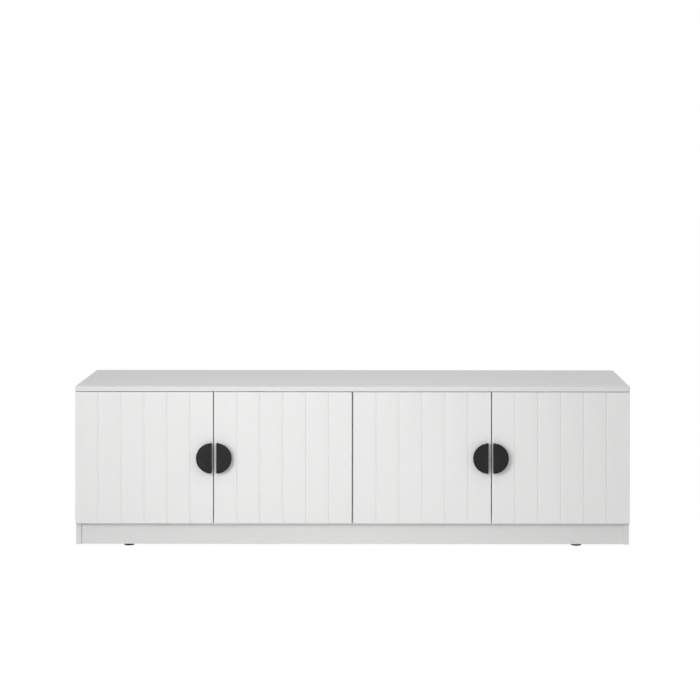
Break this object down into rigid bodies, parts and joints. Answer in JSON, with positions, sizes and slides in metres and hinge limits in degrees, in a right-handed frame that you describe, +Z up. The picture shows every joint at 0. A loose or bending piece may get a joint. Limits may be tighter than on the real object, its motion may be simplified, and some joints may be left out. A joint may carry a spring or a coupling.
{
  "type": "tv stand with doors",
  "caption": "Low white television cabinet with grooved doors on concealed hinges, half-moon pulls, shelves behind the doors, a set-back plinth and levelling feet.",
  "frame": {"origin": "bottom centre of the bounding box, on the floor under the middle of the cabinet", "axes": "+X to the right seen from the front, -Y out of the doors, +Z up"},
  "size_m": [1.8, 0.418, 0.525],
  "materials": {
    "white_board": "white satin laminate on particle board",
    "white_door": "white satin paint on grooved fibreboard",
    "hardboard": "hardboard, white on the inner face",
    "charcoal_metal": "satin charcoal, finely brushed",
    "nickel_steel": "nickel plate",
    "zinc": "cast zinc, dull",
    "beech": "bare beech",
    "black_plastic": "matt black, moulded",
    "clear_bumper": "clear soft plastic"
  },
  "bodies": {
    "cabinet": {"top_panel": "white_board", "left_side_panel": "white_board", "right_side_panel": "white_board", "centre_divider": "white_board", "bottom_panel": "white_board", "plinth_board": "white_board", "rear_plinth_board": "white_board", "plinth_brace": "white_board", "shelf_left": "white_board", "shelf_right": "white_board", "back_panel_left": "hardboard", "back_panel_right": "hardboard", "cam_locks": "zinc", "cam_bolts": "nickel_steel", "dowels": "beech", "divider_screws": "nickel_steel", "shelf_pins": "nickel_steel", "back_panel_nails": "nickel_steel", "hinge_plates": "nickel_steel", "hinge_arms": "nickel_steel", "plate_screws": "nickel_steel", "arm_screws": "nickel_steel", "door_bumpers": "clear_bumper", "foot_brackets": "black_plastic", "bracket_screws": "nickel_steel"},
    "door_1": {"door_1_panel": "white_door", "door_1_handle": "charcoal_metal", "door_1_handle_screws": "nickel_steel", "door_1_hinge_cups": "nickel_steel", "door_1_cup_screws": "nickel_steel", "door_1_hinge_pins": "nickel_steel"},
    "door_2": {"door_2_panel": "white_door", "door_2_handle": "charcoal_metal", "door_2_handle_screws": "nickel_steel", "door_2_hinge_cups": "nickel_steel", "door_2_cup_screws": "nickel_steel", "door_2_hinge_pins": "nickel_steel"},
    "door_3": {"door_3_panel": "white_door", "door_3_handle": "charcoal_metal", "door_3_handle_screws": "nickel_steel", "door_3_hinge_cups": "nickel_steel", "door_3_cup_screws": "nickel_steel", "door_3_hinge_pins": "nickel_steel"},
    "door_4": {"door_4_panel": "white_door", "door_4_handle": "charcoal_metal", "door_4_handle_screws": "nickel_steel", "door_4_hinge_cups": "nickel_steel", "door_4_cup_screws": "nickel_steel", "door_4_hinge_pins": "nickel_steel"},
    "foot_front_left_pad": {"foot_front_left_pad": "black_plastic"},
    "foot_front_left_stem": {"foot_front_left_stem": "nickel_steel"},
    "foot_front_right_pad": {"foot_front_right_pad": "black_plastic"},
    "foot_front_right_stem": {"foot_front_right_stem": "nickel_steel"},
    "foot_rear_left_pad": {"foot_rear_left_pad": "black_plastic"},
    "foot_rear_left_stem": {"foot_rear_left_stem": "nickel_steel"},
    "foot_rear_right_pad": {"foot_rear_right_pad": "black_plastic"},
    "foot_rear_right_stem": {"foot_rear_right_stem": "nickel_steel"}
  },
  "joints": [
    {"name": "door_1_hinge", "type": "hinge", "parent": "cabinet", "child": "door_1", "pos_m": [-0.8925, -0.1852, 0.29], "axis": [0, 0, -1], "range_deg": [0, 95]},
    {"name": "door_2_hinge", "type": "hinge", "parent": "cabinet", "child": "door_2", "pos_m": [-0.00925, -0.1852, 0.29], "axis": [0, 0, 1], "range_deg": [0, 86]},
    {"name": "door_3_hinge", "type": "hinge", "parent": "cabinet", "child": "door_3", "pos_m": [0.00925, -0.1852, 0.29], "axis": [0, 0, -1], "range_deg": [0, 86]},
    {"name": "door_4_hinge", "type": "hinge", "parent": "cabinet", "child": "door_4", "pos_m": [0.8925, -0.1852, 0.29], "axis": [0, 0, 1], "range_deg": [0, 95]},
    {"name": "foot_front_left_height", "type": "slide", "parent": "cabinet", "child": "foot_front_left_pad", "axis": [0, 0, -1], "range_m": [0, 0.012]},
    {"name": "foot_front_left_screw", "type": "hinge", "parent": "foot_front_left_pad", "child": "foot_front_left_stem", "pos_m": [-0.731, -0.1405, 0.03], "axis": [0, 0, -1], "range_deg": [0, 3456]},
    {"name": "foot_front_right_height", "type": "slide", "parent": "cabinet", "child": "foot_front_right_pad", "axis": [0, 0, -1], "range_m": [0, 0.012]},
    {"name": "foot_front_right_screw", "type": "hinge", "parent": "foot_front_right_pad", "child": "foot_front_right_stem", "pos_m": [0.731, -0.1405, 0.03], "axis": [0, 0, -1], "range_deg": [0, 3456]},
    {"name": "foot_rear_left_height", "type": "slide", "parent": "cabinet", "child": "foot_rear_left_pad", "axis": [0, 0, -1], "range_m": [0, 0.012]},
    {"name": "foot_rear_left_screw", "type": "hinge", "parent": "foot_rear_left_pad", "child": "foot_rear_left_stem", "pos_m": [-0.731, 0.175, 0.03], "axis": [0, 0, -1], "range_deg": [0, 3456]},
    {"name": "foot_rear_right_height", "type": "slide", "parent": "cabinet", "child": "foot_rear_right_pad", "axis": [0, 0, -1], "range_m": [0, 0.012]},
    {"name": "foot_rear_right_screw", "type": "hinge", "parent": "foot_rear_right_pad", "child": "foot_rear_right_stem", "pos_m": [0.731, 0.175, 0.03], "axis": [0, 0, -1], "range_deg": [0, 3456]}
  ],
  "couplings": [
    {"joint": "foot_front_left_screw", "follows": "foot_front_left_height", "rad_per_m": 5026.5},
    {"joint": "foot_front_right_screw", "follows": "foot_front_right_height", "rad_per_m": 5026.5},
    {"joint": "foot_rear_left_screw", "follows": "foot_rear_left_height", "rad_per_m": 5026.5},
    {"joint": "foot_rear_right_screw", "follows": "foot_rear_right_height", "rad_per_m": 5026.5}
  ]
}
